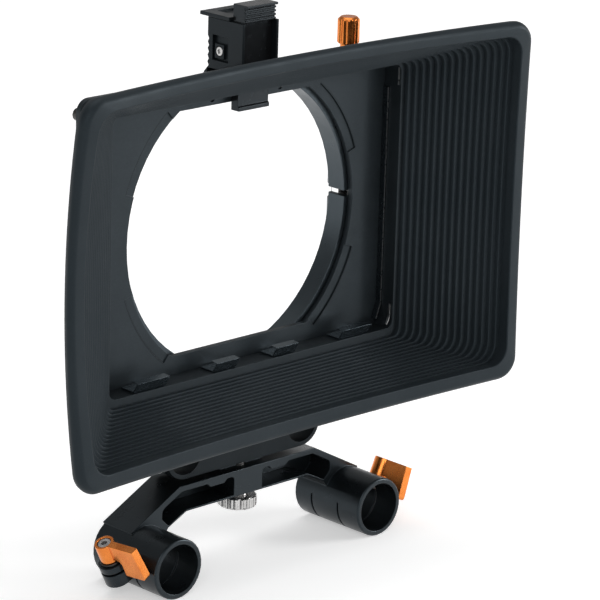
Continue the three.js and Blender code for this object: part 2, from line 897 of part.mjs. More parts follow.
// A round body about Z with evenly spaced flutes cut along its side
function fluted(body, circleRadius, fluteRadius, flutes, bottom, top) {
  const tools = [];
  for (let i = 0; i < flutes; i += 1) {
    const angle = (i / flutes) * fullTurn;
    const x = circleRadius * Math.cos(angle);
    const y = circleRadius * Math.sin(angle);
    tools.push(rodAlongZ(fluteRadius, x, y, bottom - overrun, top + overrun, 2 * cornerFacets));
  }
  return cut(body, ...tools);
}

// A round body about Z with both rims chamfered
function chamferedDisc(radius, bottom, top, lowerChamfer, upperChamfer) {
  const geometry = turned(
    [[0, bottom], [radius - lowerChamfer, bottom], [radius, bottom + lowerChamfer],
      [radius, top - upperChamfer], [radius - upperChamfer, top], [0, top]],
    roundFacets,
  );
  geometry.rotateX(Math.PI / 2);
  return solidOf(geometry);
}

function clampKnob() {
  const radius = knobDiameter / 2;
  const disc = chamferedDisc(radius, knobBottom, knobTop, knobChamfer / 2, knobChamfer);
  const circle = radius + knobFluteRadius / 2;
  const head = fluted(disc, circle, knobFluteRadius, knobFlutes, knobBottom, knobTop);
  const collar = rodAlongZ(knobCollarRadius, 0, 0, collarBottom, knobBottom + overrun, smallFacets);
  const seat = rodAlongZ(
    clampScrewRadius + runningGap, 0, 0, collarBottom - overrun, knobBottom, smallFacets,
  );
  const knob = cut(join(head, collar), seat);
  return meshOf("clamp_knob", moved(knob, clampScrewX, clampScrewY, 0), anodisedOrange);
}

function clampScrew() {
  const bottom = splitHeight - clampLugHeight + overrun;
  const top = knobBottom - seatGap;
  const rod = rodAlongZ(clampScrewRadius, clampScrewX, clampScrewY, bottom, top, smallFacets);
  return meshOf("clamp_screw", rod, blackSteel);
}

// The latch housing's side outline, with grip ridges up its rear
function latchOutline() {
  const hookFront = ringRear + seatGap;
  const hookRear = latchRear + latchFlare;
  const hookBottom = frameTop - latchHookDrop;
  const points = [
    [latchFront, latchBase], [hookFront, latchBase], [hookFront, hookBottom],
    [hookRear, hookBottom], [hookRear, hookBottom + latchFlare],
  ];
  for (let i = 0; i < latchRidges; i += 1) {
    const z = latchRidgeStart + i * latchRidgePitch;
    points.push([latchRear - latchRidgeDepth, z], [latchRear, z + latchRidgePitch / 2]);
  }
  points.push([latchRear, latchTop], [latchFront, latchTop]);
  return outlineOf(points);
}

// The recess in the right side wall, round the screw boss left standing in it
function latchRecess() {
  const rear = latchRecessFront + latchRecessWidth;
  const top = latchRecessBottom + latchRecessHeight;
  const recess = block(
    latchHalfWidth - latchRecessDepth, latchHalfWidth + overrun, latchRecessFront, rear,
    latchRecessBottom, top,
  );
  const boss = block(
    latchHalfWidth - latchRecessDepth - overrun, latchBossFace(),
    rear - latchBossInset - latchRecessWidth * latchBossShare, rear - latchBossInset,
    latchRecessBottom + latchBossInset,
    latchRecessBottom + latchBossInset + latchRecessHeight * latchBossShare,
  );
  return cut(recess, boss);
}

function latchBossFace() {
  return latchHalfWidth - latchRecessDepth + latchBossRaise;
}

function latchScrewAxis() {
  const halfWidth = (latchRecessWidth * latchBossShare) / 2;
  const halfHeight = (latchRecessHeight * latchBossShare) / 2;
  return {
    y: latchRecessFront + latchRecessWidth - latchBossInset - halfWidth,
    z: latchRecessBottom + latchBossInset + halfHeight,
  };
}

function latchScrewHole() {
  const { y, z } = latchScrewAxis();
  const depth = latchScrewHeadHeight + latchScrewBite + runningGap;
  const head = rodAlongY(
    latchScrewHeadRadius + runningGap, 0, 0, -latchScrewHeadHeight - seatGap, overrun, smallFacets,
  );
  const shank = rodAlongY(latchScrewRadius + runningGap, 0, 0, -depth, 0, smallFacets);
  return moved(pointingRight(join(head, shank)), latchBossFace(), y, z);
}

function latchScrews() {
  const { y, z } = latchScrewAxis();
  const screw = socketScrew(latchScrewRadius, latchScrewHeadRadius, latchScrewHeadHeight, latchScrewBite);
  const [right, left] = bothSides(moved(pointingRight(screw), latchBossFace(), y, z));
  return [meshOf("latch_screw_left", left, brightSteel), meshOf("latch_screw_right", right, brightSteel)];
}

function earScrewPlaces() {
  const x = latchHalfWidth + latchEarReach / 2;
  return [-x, x].map((place) => [place, (latchFront + latchEarRear) / 2]);
}

// The ears at the latch's foot, screwed down on the stage frame
function latchEars() {
  const reach = latchHalfWidth + latchEarReach;
  const outline = roundedRectangle(-reach, reach, latchFront, latchEarRear, latchEarRadius);
  return extrudeAlongZ(outline, latchBase, latchBase + latchEarThickness);
}

function latchHousing() {
  const floor = lugBottom - runningGap;
  const channel = block(
    -slideChannelHalfWidth, slideChannelHalfWidth, latchFront - overrun, slideChannelRear,
    latchBase - overrun, latchTop + overrun,
  );
  const pocket = block(
    -pocketHalfWidth, pocketHalfWidth, pocketFront, pocketRear, floor, latchTop + overrun,
  );
  const neck = neckHalfWidth + runningGap;
  const neckSlot = block(
    -neck, neck, slideChannelRear - overrun, pocketFront + overrun, floor, latchTop + overrun,
  );
  const earHoles = earScrewPlaces().map(([x, y]) =>
    rodAlongZ(
      earScrewRadius + runningGap, x, y,
      latchBase - overrun, latchBase + latchEarThickness + overrun, smallFacets,
    ),
  );
  const body = join(extrudeAlongX(latchOutline(), -latchHalfWidth, latchHalfWidth), latchEars());
  const solid = cut(
    body, channel, pocket, neckSlot, ...earHoles, ...bothSides(latchRecess()), ...bothSides(latchScrewHole()),
  );
  return meshOf("latch_housing", solid, anodisedBlack);
}

function earScrews() {
  const length = latchEarThickness + earScrewBite + 2 * seatGap;
  const screw = upright(socketScrew(earScrewRadius, earScrewHeadRadius, earScrewHeadHeight, length));
  const headTop = latchBase + latchEarThickness + seatGap + earScrewHeadHeight;
  return earScrewPlaces().map(([x, y], i) =>
    meshOf(`latch_ear_screw_${i + 1}`, moved(screw, x, y, headTop), blackSteel),
  );
}

function latchCap() {
  const bottom = latchTop + seatGap;
  const top = bottom + capThickness;
  const half = latchHalfWidth + capLip;
  const rear = latchRear + capOverhang;
  const recess = block(
    -capRecessHalfWidth, capRecessHalfWidth, slideChannelRear + capRecessInset, latchRear,
    top - capRecessDepth, top + overrun,
  );
  const plate = block(-half, half, slideChannelRear, rear, bottom, top);
  return meshOf("latch_cap", cut(plate, recess), anodisedBlack);
}

// The slide's side outline: tongue with its lip below, flat face, and grooved thumb piece on top
function slideOutline() {
  const gripTop = thumbTop - thumbFlange;
  const gripBottom = gripTop - thumbHeight;
  const pitch = thumbHeight / thumbGrooves;
  const lipTop = tongueBottom + tongueLipHeight;
  const points = [
    [slideRear, tongueBottom], [slideRear, thumbTop],
    [thumbFace - thumbFlangeReach, thumbTop], [thumbFace - thumbFlangeReach, gripTop],
  ];
  for (let i = 0; i < thumbGrooves; i += 1) {
    const z = gripTop - i * pitch;
    const ridge = z - pitch * thumbGrooveShare;
    const inner = thumbFace + thumbGrooveDepth;
    points.push([inner, z], [inner, ridge], [thumbFace, ridge], [thumbFace, z - pitch]);
  }
  points.push(
    [slideFace, gripBottom], [slideFace, frameTop], [tongueFace, frameTop - frameTopWall],
    [tongueFace, lipTop + tongueLip], [tongueFace - tongueLip, lipTop],
    [tongueFace - tongueLip, tongueBottom],
  );
  return outlineOf(points);
}

function latchSlide() {
  const half = slideChannelHalfWidth - runningGap;
  const body = extrudeAlongX(slideOutline(), -half, half);
  const neck = block(
    -neckHalfWidth, neckHalfWidth, slideRear - overrun, pocketFront + overrun, lugBottom, lugTop,
  );
  const lugHalf = pocketHalfWidth - runningGap;
  const lug = block(
    -lugHalf, lugHalf, pocketFront + runningGap, pocketRear - runningGap, lugBottom, lugTop,
  );
  return meshOf("latch_slide", join(body, neck, lug), blackPlastic);
}

// The coil spring between the slide's lug and the cap, as one unbroken tube
function latchSpring() {
  const wire = springWire / 2;
  const bottom = lugTop + seatGap + wire;
  const rise = latchTop - wire - bottom;
  const centreY = (pocketFront + pocketRear) / 2;
  const steps = springTurns * springStepsPerTurn;
  const positions = [];
  const index = [];
  for (let step = 0; step <= steps; step += 1) {
    const angle = (step / springStepsPerTurn) * fullTurn;
    const height = bottom + (rise * step) / steps;
    for (let i = 0; i < springSides; i += 1) {
      const around = (i / springSides) * fullTurn;
      const radius = springRadius + wire * Math.cos(around);
      positions.push(
        radius * Math.cos(angle), centreY + radius * Math.sin(angle), height + wire * Math.sin(around),
      );
      const a = step * springSides + i;
      const b = step * springSides + ((i + 1) % springSides);
      if (step < steps) {
        index.push(a, b + springSides, b, a, a + springSides, b + springSides);
      }
    }
  }
  const last = steps * springSides;
  for (let i = 1; i < springSides - 1; i += 1) {
    index.push(0, i, i + 1, last, last + i + 1, last + i);
  }
  const geometry = new THREE.BufferGeometry();
  geometry.setAttribute("position", new THREE.BufferAttribute(new Float32Array(positions), 3));
  geometry.setIndex(index);
  return meshOf("latch_spring", solidOf(geometry), springSteel);
}

function footScrewPlaces() {
  const x = footShoulderWidth - footTabWidth / 2;
  return [-x, x].map((place) => [place, frameBottom + footTabHeight / 2]);
}

// The foot's front web, between the rounded lugs and the waist under the stage
function footFrontOutline() {
  const lugEdge = lwsX + lwsRodBore / 2 + lugWall;
  return outlineOf([
    [-lwsX, footBottom], [lwsX, footBottom], [lugEdge, lwsHeight],
    [footWaist, footTop], [-footWaist, footTop], [-lugEdge, lwsHeight],
  ]);
}

// The foot's rear body, flaring out to shoulders as wide as the screw tabs
function footRearOutline() {
  const foot = lwsX + lugWall;
  const flare = footBottom + footFlareRise;
  const shoulder = footBottom + footShoulderRise;
  const right = [
    [foot, footBottom], [footFlareWidth, flare], [footShoulderWidth, shoulder], [footShoulderWidth, footTop],
  ];
  const left = right.map(([x, z]) => [-x, z]).reverse();
  return outlineOf([...right, ...left]);
}

function rodFoot() {
  const lugRadius = lwsRodBore / 2 + lugWall;
  const bodyFront = footFront + footFrontThickness;
  const through = [footFront - overrun, footRear + overrun];
  const lug = rodAlongY(lugRadius, lwsX, lwsHeight, footFront, bodyFront + overrun, roundFacets);
  const bore = rodAlongY(lwsRodBore / 2, lwsX, lwsHeight, ...through, roundFacets);
  const tabFront = plateRear + seatGap;
  const tab = block(
    footShoulderWidth - footTabWidth, footShoulderWidth, tabFront, tabFront + footTabThickness,
    footTop - overrun, frameBottom + footTabHeight,
  );
  const windowBottom = footBottom + footWindowRise;
  const window = roundedRectangle(
    -footWindowWidth / 2, footWindowWidth / 2, windowBottom, windowBottom + footWindowHeight,
    footWindowRadius,
  );
  const stud = rodAlongZ(
    studRadius + runningGap, 0, studY, footBottom - overrun, studTop + runningGap, smallFacets,
  );
  const body = join(
    extrudeAlongY(footFrontOutline(), footFront, bodyFront + seatGap),
    extrudeAlongY(footRearOutline(), bodyFront, footRear),
    ...bothSides(lug),
    ...bothSides(tab),
  );
  const trim = block(
    -footShoulderWidth, footShoulderWidth, ...through, footBottom - 2 * lugRadius, footBottom,
  );
  const solid = cut(
    body,
    trim,
    extrudeAlongY(window, ...through),
    stud,
    ...bothSides(bore),
    ...holesAt(footScrewPlaces(), footScrewRadius, plateRear, footRear),
  );
  return meshOf("rod_foot", solid, anodisedBlack);
}

function footScrews() {
  const screw = socketScrew(
    footScrewRadius, footScrewHeadRadius, footScrewHeadHeight,
    footTabThickness + footScrewBite + 2 * seatGap,
  );
  const headTop = plateRear + footTabThickness + 2 * seatGap + footScrewHeadHeight;
  return screwSet("foot_screw", screw, footScrewPlaces(), headTop);
}

// The bracket's gull-wing outline
function bracketOutline() {
  const right = [
    [bottomBend, bracketBottom], [wingUnderReach, bracketBottom - wingUnderDrop],
    [wingInnerReach, bracketBottom - wingInnerDrop], [rodX, 0],
    [wingReach, bracketTop - wingDrop], [topBend, bracketTop],
  ];
  const left = right.map(([x, z]) => [-x, z]).reverse();
  return outlineOf([...right, ...left]);
}

// The right front pocket, over a thin rail and under a skin with one thicker stretch
function bracketPocket() {
  const ceiling = bracketTop - skinThickness;
  const lump = ceiling - skinLumpDrop;
  const slope = wingDrop / (wingReach - topBend);
  const bend = topBend - skinThickness * slope;
  const endTop = ceiling - (pocketEnd - bend) * slope;
  const corner = pocketCornerRadius;
  const floor = bracketBottom + pocketRail;
  const shape = new THREE.Shape();
  shape.moveTo(webHalfWidth, floor);
  shape.lineTo(bottomBend, floor);
  shape.lineTo(wingUnderReach, floor - wingUnderDrop);
  shape.lineTo(pocketEnd, endTop - pocketEndHeight);
  shape.lineTo(pocketEnd, endTop - corner);
  shape.quadraticCurveTo(pocketEnd, endTop, pocketEnd - corner, endTop + corner * slope);
  shape.lineTo(bend, ceiling);
  shape.lineTo(skinLumpFar, ceiling);
  shape.lineTo(skinLumpFar - skinLumpSlope, lump);
  shape.lineTo(skinLumpNear + skinLumpSlope, lump);
  shape.lineTo(skinLumpNear, ceiling);
  shape.lineTo(webHalfWidth + corner, ceiling);
  shape.quadraticCurveTo(webHalfWidth, ceiling, webHalfWidth, ceiling - corner);
  return extrudeAlongY(shape, bracketFront - overrun, bracketFront + bracketPocketDepth);
}

// The right clamp's own frame: local X forward, local Y outward, local Z up along the lever's axis
function inClampFrame(solid) {
  const tilt = THREE.MathUtils.degToRad(clampAxisTilt);
  const forward = new THREE.Vector3(0, -1, 0);
  const outward = new THREE.Vector3(Math.cos(tilt), 0, -Math.sin(tilt));
  const axis = new THREE.Vector3(Math.sin(tilt), 0, Math.cos(tilt));
  const origin = new THREE.Vector3(rodX, clampAxisY, 0).addScaledVector(outward, clampAxisOffset);
  return placed(solid, new THREE.Matrix4().makeBasis(forward, outward, axis).setPosition(origin));
}

// The boss for the lever's screw, with its web back to the barrel
function clampBoss() {
  const post = rodAlongZ(bossRadius, 0, 0, bossBottom, bossTop, roundFacets);
  const web = block(-bossRadius, bossRadius, -clampAxisOffset, 0, bossBottom, bossTop);
  return inClampFrame(join(post, web));
}

function clampCuts() {
  const screw = rodAlongZ(
    leverScrewRadius + runningGap, 0, 0, bossBottom - overrun, bossTop + overrun, smallFacets,
  );
  const slot = block(
    clampAxisY - bandRear, clampAxisY - bandFront, -clampAxisOffset, bossRadius + overrun,
    pinchHeight - pinchGap / 2, pinchHeight + pinchGap / 2,
  );
  return inClampFrame(join(screw, slot));
}

// A slit through the barrel's wall, from the pinch slot round under the rod to the band's hinge
function bandSlit(centreY) {
  const start = Math.asin(pinchHeight / barrelRadius) - THREE.MathUtils.degToRad(clampAxisTilt);
  const shape = new THREE.Shape();
  shape.moveTo(0, 0);
  shape.absarc(0, 0, barrelRadius + overrun, start, THREE.MathUtils.degToRad(bandHingeAngle), true);
  const slit = extrudeAlongY(shape, centreY - slitWidth / 2, centreY + slitWidth / 2, roundFacets);
  return moved(slit, rodX, 0, 0);
}

function barrel() {
  const radius = barrelRadius;
  const narrow = barrelRadius - barrelChamfer;
  const geometry = turned(
    [[0, barrelFront], [narrow, barrelFront], [radius, barrelFront + barrelChamfer],
      [radius, bracketRear - barrelChamfer], [narrow, bracketRear], [0, bracketRear]],
    roundFacets,
  );
  geometry.translate(rodX, 0, 0);
  return solidOf(geometry);
}

function barrelBore() {
  return rodAlongY(rodBore / 2, rodX, 0, barrelFront - overrun, bracketRear + overrun, roundFacets);
}

function rodBracket() {
  const pad = block(
    -padHalfWidth, padHalfWidth, bracketFront + padInset, bracketRear - padInset,
    bracketTop - overrun, bracketTop + padHeight,
  );
  const stud = rodAlongZ(
    studRadius + runningGap, 0, studY, bracketBottom - overrun, footBottom, smallFacets,
  );
  const body = join(
    extrudeAlongY(bracketOutline(), bracketFront, bracketRear),
    pad,
    ...bothSides(barrel()),
    ...bothSides(clampBoss()),
  );
  const solid = cut(
    body,
    stud,
    ...bothSides(barrelBore()),
    ...bothSides(bracketPocket()),
    ...bothSides(clampCuts()),
    ...bothSides(bandSlit(bandFront)),
    ...bothSides(bandSlit(bandRear)),
  );
  return meshOf("rod_bracket", solid, anodisedBlack);
}

// The lever's side outline: an arm from the hub that drops into a paddle with a rounded toe
function leverOutline() {
  const armBottom = leverTop - leverArmHeight;
  const paddleBottom = leverTop - paddleDrop;
  const paddleRear = leverReach - paddleLength;
  const shape = new THREE.Shape();
  shape.moveTo(0, armBottom);
  shape.lineTo(paddleRear - paddleSweep, armBottom);
  shape.quadraticCurveTo(paddleRear, armBottom, paddleRear, armBottom - paddleSweep);
  shape.lineTo(paddleRear, paddleBottom);
  shape.lineTo(leverReach - paddleCorner, paddleBottom);
  shape.quadraticCurveTo(leverReach, paddleBottom, leverReach, paddleBottom + paddleCorner);
  shape.lineTo(leverReach - leverTopCut, leverTop);
  shape.lineTo(0, leverTop);
  return shape;
}

function lever() {
  const headBottom = leverTop - leverHeadSink - leverScrewHeadHeight;
  const arm = extrudeAlongY(leverOutline(), -leverThickness / 2, leverThickness / 2);
  const turn = new THREE.Matrix4().makeRotationZ(-THREE.MathUtils.degToRad(leverRestAngle));
  const body = join(
    rodAlongZ(leverHubRadius, 0, 0, leverHubBottom, leverTop, roundFacets),
    placed(arm, turn),
  );
  const counterbore = rodAlongZ(
    leverScrewHeadRadius + runningGap, 0, 0, headBottom - seatGap, leverTop + overrun, smallFacets,
  );
  const hole = rodAlongZ(
    leverScrewRadius + runningGap, 0, 0, leverHubBottom - overrun, leverTop, smallFacets,
  );
  return inClampFrame(cut(body, counterbore, hole));
}

function leverScrew() {
  const headTop = leverTop - leverHeadSink;
  const length = headTop - leverScrewHeadHeight - bossBottom - leverScrewInset;
  const screw = upright(
    socketScrew(leverScrewRadius, leverScrewHeadRadius, leverScrewHeadHeight, length),
  );
  return inClampFrame(moved(screw, 0, 0, headTop));
}

function leverWasher() {
  const bottom = bossTop + seatGap;
  const disc = rodAlongZ(washerRadius, 0, 0, bottom, bottom + washerThickness, roundFacets);
  const hole = rodAlongZ(
    leverScrewRadius + runningGap, 0, 0, bottom - overrun, bottom + washerThickness + overrun, smallFacets,
  );
  return inClampFrame(cut(disc, hole));
}

function clampPieces(name, solid, material) {
  const [right, left] = bothSides(solid);
  return [meshOf(`${name}_left`, left, material), meshOf(`${name}_right`, right, material)];
}

function lockWheel() {
  const radius = wheelDiameter / 2;
  const disc = chamferedDisc(radius, wheelBottom, wheelTop, wheelChamfer, wheelChamfer);
  const circle = radius + wheelFluteRadius / 2;
  const rim = fluted(disc, circle, wheelFluteRadius, wheelFlutes, wheelBottom, wheelTop);
  const collar = rodAlongZ(
    wheelCollarRadius, 0, 0, wheelTop - overrun, bracketBottom - seatGap, smallFacets,
  );
  const hole = rodAlongZ(studRadius + runningGap, 0, 0, wheelBottom - overrun, bracketBottom, smallFacets);
  return meshOf("lock_wheel", moved(cut(join(rim, collar), hole), 0, studY, 0), brightSteel);
}

function lockStud() {
  const stud = rodAlongZ(studRadius, 0, studY, wheelBottom + studInset, studTop, smallFacets);
  return meshOf("lock_stud", stud, blackSteel);
}

const matteBox = new THREE.Group();
matteBox.add(
  hood(),
  stageFrame(),
  backPlate(),
  ...bodyScrews(),
  ...sideStrips(),
  ...filterClips(),
  clampRing(),
  ...ringScrews(),
  clampKnob(),
  clampScrew(),
  latchHousing(),
  latchCap(),
  latchSlide(),
  latchSpring(),
  ...latchScrews(),
  ...earScrews(),
  rodFoot(),
  ...footScrews(),
  rodBracket(),
  ...clampPieces("lever", lever(), anodisedOrange),
  ...clampPieces("lever_screw", leverScrew(), brightSteel),
  ...clampPieces("lever_washer", leverWasher(), blackSteel),
  lockWheel(),
  lockStud(),
);

export default matteBox;
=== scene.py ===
"""Looks, camera and light for the matte box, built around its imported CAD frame.

X runs across the box, +Y to the rear where the lens is, and +Z up, as in the CAD. Named sizes are in
millimetres, which MM brings to Blender's metres, but the stage's are in metres. Angles are in radians.
"""

import math
from collections import namedtuple

import bpy
from mathutils import Matrix, Vector

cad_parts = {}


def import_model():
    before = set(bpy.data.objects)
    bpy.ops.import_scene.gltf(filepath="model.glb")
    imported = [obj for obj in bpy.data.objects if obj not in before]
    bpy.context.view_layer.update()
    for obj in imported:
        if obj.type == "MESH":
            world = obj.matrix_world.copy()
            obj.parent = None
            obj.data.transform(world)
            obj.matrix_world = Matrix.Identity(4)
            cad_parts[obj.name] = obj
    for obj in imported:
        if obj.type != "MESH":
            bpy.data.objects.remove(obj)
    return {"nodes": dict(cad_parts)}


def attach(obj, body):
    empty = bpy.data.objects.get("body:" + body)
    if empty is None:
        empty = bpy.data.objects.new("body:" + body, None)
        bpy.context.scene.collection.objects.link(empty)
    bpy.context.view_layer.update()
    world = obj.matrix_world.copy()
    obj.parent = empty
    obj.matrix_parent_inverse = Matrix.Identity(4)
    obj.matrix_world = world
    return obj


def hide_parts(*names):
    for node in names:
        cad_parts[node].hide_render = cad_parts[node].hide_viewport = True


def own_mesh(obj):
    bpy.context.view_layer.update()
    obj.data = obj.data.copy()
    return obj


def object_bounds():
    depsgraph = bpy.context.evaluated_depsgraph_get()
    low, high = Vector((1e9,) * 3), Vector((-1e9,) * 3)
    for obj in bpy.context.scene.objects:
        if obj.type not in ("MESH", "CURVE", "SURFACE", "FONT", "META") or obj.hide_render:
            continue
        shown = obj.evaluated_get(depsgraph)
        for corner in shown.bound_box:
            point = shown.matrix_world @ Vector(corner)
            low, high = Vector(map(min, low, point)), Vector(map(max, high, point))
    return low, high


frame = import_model()
cad_low, cad_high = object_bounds()
scene = bpy.context.scene
nodes = frame["nodes"]
MM = 0.001

# Camera, found from the photograph
CAMERA_PLACE = Vector((-844.08, -883.06, 455.31))
CAMERA_YAW = -0.7757
CAMERA_PITCH = 0.2906
CAMERA_ROLL = 0.0300
CAMERA_LENS = 205.65
CAMERA_SENSOR = 36.0
CAMERA_NEAR = 50
CAMERA_FAR = 50000

# Softened edges of the CAD pieces
WELD_DISTANCE = 0.002
FLAT_ANGLE = math.radians(0.4)
SHARP_ANGLE = math.radians(34)
EDGE_SEGMENTS = 2
EDGE_NORMAL_WEIGHT = 100
CASTING_EDGE = 0.25
FOOT_EDGE = 0.2
ORANGE_EDGE = 0.2
MACHINED_EDGE = 0.15
WHEEL_EDGE = 0.12
SCREW_EDGE = 0.1
FINE_EDGE = 0.08
NO_EDGE = 0

# Filter channel that the hood opens from
CHANNEL_HALF_WIDTH = 72.5
CHANNEL_TOP = 169.5
CHANNEL_BOTTOM = 65.0

# Hood's steps: how deep each is, and how far out it goes
HOOD_STEPS = 16
HOOD_DEPTH = 27.6
HOOD_REAR = 0.03
STEP_DEPTH = 1.57
STEP_OUT_SIDE = 2.03
STEP_OUT_TOP = 0.76
STEP_OUT_BOTTOM = 0.7
FIRST_STEP_BOTTOM = 3.2
STEP_NOSE = 0.34
OPENING_RADIUS = 3.0

# Hood's scoop and bow: how far its front edges stand forward and out
SCOOP_DEPTH = 27.1
SCOOP_TOP = 4.15
SCOOP_SIDE = 6.4
SCOOP_HEIGHT = 114.5
BOW_SIDE = 3.2
BOW_ENDS = 1.0

# Hood's rim
RIM_RADIUS_INSIDE = 7.0
RIM_RADIUS_OUTSIDE = 8.6
RIM_SIDE = 6.65
RIM_TOP = 5.3
RIM_BOTTOM = 6.6
RIM_ROUND = 2.6
RIM_BAND = 4.4
RIM_TAPER = 0.3
RIM_LIP = 1.8
RIM_INNER_ROUND = 0.5

# Hood's skin and rear flange
SKIN_SIDE = 6.8
SKIN_ENDS = 2.7
SKIN_RADIUS = 8.0
FLANGE_THICKNESS = 2.4
FLANGE_HALF_WIDTH = 80.4
FLANGE_TOP = 175.3
FLANGE_BOTTOM = 58.1
FLANGE_RADIUS = 9.0

# Hood's facets and shading
CORNER_FACETS = 9
EDGE_FACETS = 20
NOSE_FACETS = 2
ROUND_FACETS = 6
HOOD_SHARP_ANGLE = math.radians(50)
HOOD_NORMAL_WEIGHT = 60

# Clamp ring's lip, and the gap where the ring is split
LENS_HEIGHT = 117.7
LIP_INSIDE = 57.45
LIP_OUTSIDE = 58.6
LIP_FRONT = 11.45
LIP_REAR = 12.7
LIP_FACETS = 128
SPLIT_RISE = 1.3
SPLIT_GAP = 2.2

# Lobes round the lens opening: the painted shadow line along the foot of each one's outer wall
LOBE_RADIUS = 61.05
LOBE_SHADOW_LINE = 0.64
LOBE_TURN = 0.6095
LOBE_HALF_SWEEP = 0.2827
LOBE_PAINTED_SHADOW = 0.12

# Bright edges of the springs on the channel's side walls: points across and up, then front and rear
LEAF_THICKNESS = 0.35
STRIP_EDGE = [(72.2, 159.4), (72.2, 73.4), (70.0, 67.4)]
STRIP_EDGE_FRONT = 6.15
STRIP_EDGE_REAR = 6.45
END_LEAF = [(72.3, 74.2), (72.1, 71.8), (72.1, 69.4), (71.5, 67.6), (70.7, 66.2)]
END_LEAF_FRONT = 1.0
END_LEAF_REAR = 1.9
TOP_LEAF = [(72.3, 168.0), (72.3, 161.2)]
TOP_LEAF_FRONT = 0.9
TOP_LEAF_REAR = 1.3

# Turned and threaded metal
TURNING_PITCH = 0.22
THREAD_PITCH = 0.8
THREAD_DEPTH_SHARE = 0.4

# Colours, as linear red, green and blue
WHITE = (1.0, 1.0, 1.0)
COOL_SHARES = (0.80, 1.0, 1.14)
HOOD_DARK = (0.0148, 0.0197, 0.0232)
HOOD_LIGHT = (0.0193, 0.0246, 0.0285)
HOOD_SPECKLE = (0.78, 0.78, 0.78)
BLACK_MARKS = (0.72, 0.72, 0.74)
BLACK_GRAIN = (0.80, 0.80, 0.80)
SLIDE_DARK = (0.0100, 0.0104, 0.0112)
SLIDE_LIGHT = (0.0150, 0.0155, 0.0165)
ORANGE_DARK = (0.80, 0.225, 0.044)
ORANGE_LIGHT = (0.92, 0.310, 0.072)
ORANGE_MARKS = (0.80, 0.76, 0.72)

# The part of 0 to 1 that a noise mostly keeps to
NOISE_LOW = 0.3
NOISE_HIGH = 0.7

# Stage, in metres and watts
FLOOR_SIZE = 14.0
FLOOR_GAP = 0.00005
FLOOR_TONE = 0.93
FLOOR_ROUGHNESS = 0.9
FLOOR_GLOSS = 0.1
NEAR_FLOOR = 0.5
FAR_FLOOR = 2.5
NEAR_GLOW = 0.42
FAR_GLOW = 0.80
KEY_PLACE = Vector((-1.2, -1.2, 1.0))
KEY_SIZE = 0.9
KEY_POWER = 8.5
TOP_PLACE = Vector((0.1, 0.2, 1.5))
TOP_SIZE = 1.2
TOP_POWER = 7.5
FILL_PLACE = Vector((1.5, -1.0, 0.6))
FILL_SIZE = 0.8
FILL_POWER = 18

# World: the room's light, and the sines of the angles over the horizon where backdrop turns to room
ROOM_LIGHT = 0.30
BACKDROP_TOP = 0.05
ROOM_BOTTOM = 0.22


# Pieces

def placed(name, data):
    """A new object for a mesh, lamp or camera."""
    piece = bpy.data.objects.new(name, data)
    scene.collection.objects.link(piece)
    return piece


def mesh_piece(name, points, faces, material):
    """A new object with a mesh of those points and faces, all of one material."""
    mesh = bpy.data.meshes.new(name)
    mesh.from_pydata(points, [], faces)
    mesh.materials.append(material)
    return placed(name, mesh)


def ring_faces(rings, count, closed=False):
    """Faces from each ring of count points to the next; a chain that isn't closed has a face at each end."""
    faces = []
    if not closed:
        last = count * (rings - 1)
        faces.append(tuple(range(count)))
        faces.append(tuple(last + i for i in reversed(range(count))))
    for ring in range(rings if closed else rings - 1):
        after = (ring + 1) % rings
        for i in range(count):
            j = (i + 1) % count
            faces.append((ring * count + i, after * count + i, after * count + j, ring * count + j))
    return faces


def weigh_normals(piece, weight, keep_sharp):
    """Keeps broad faces flat in shade, next to their rounded edges."""
    normals = piece.modifiers.new("normals", "WEIGHTED_NORMAL")
    normals.mode = "FACE_AREA_WITH_ANGLE"
    normals.weight = weight
    normals.keep_sharp = keep_sharp


# Shader nodes

class ShaderTree:
    """The nodes of one material or world. A value that they are fed is a number, a colour or a socket."""

    def __init__(self, tree):
        self.tree = tree

    def add(self, kind, **settings):
        node = self.tree.nodes.new(kind)
        for key, value in settings.items():
            setattr(node, key, value)
        return node

    def feed(self, target, value):
        if isinstance(value, bpy.types.NodeSocket):
            self.tree.links.new(value, target)
        else:
            target.default_value = value

    def calculate(self, operation, *values):
        node = self.add("ShaderNodeMath", operation=operation)
        for value, target in zip(values, node.inputs):
            self.feed(target, value)
        return node.outputs[0]

    def ranged(self, factor, low, high, start=NOISE_LOW, end=NOISE_HIGH):
        """factor from start to end, spread over low to high."""
        node = self.add("ShaderNodeMapRange")
        self.feed(node.inputs["Value"], factor)
        self.feed(node.inputs["From Min"], start)
        self.feed(node.inputs["From Max"], end)
        self.feed(node.inputs["To Min"], low)
        self.feed(node.inputs["To Max"], high)
        return node.outputs["Result"]

    def light_path_mask(self):
        """1 for what the camera sees, straight or in gloss and glass, and 0 for light on the object."""
        path = self.add("ShaderNodeLightPath")
        seen = self.calculate("MAXIMUM", path.outputs["Is Camera Ray"], path.outputs["Is Glossy Ray"])
        return self.calculate("MAXIMUM", seen, path.outputs["Is Transmission Ray"])


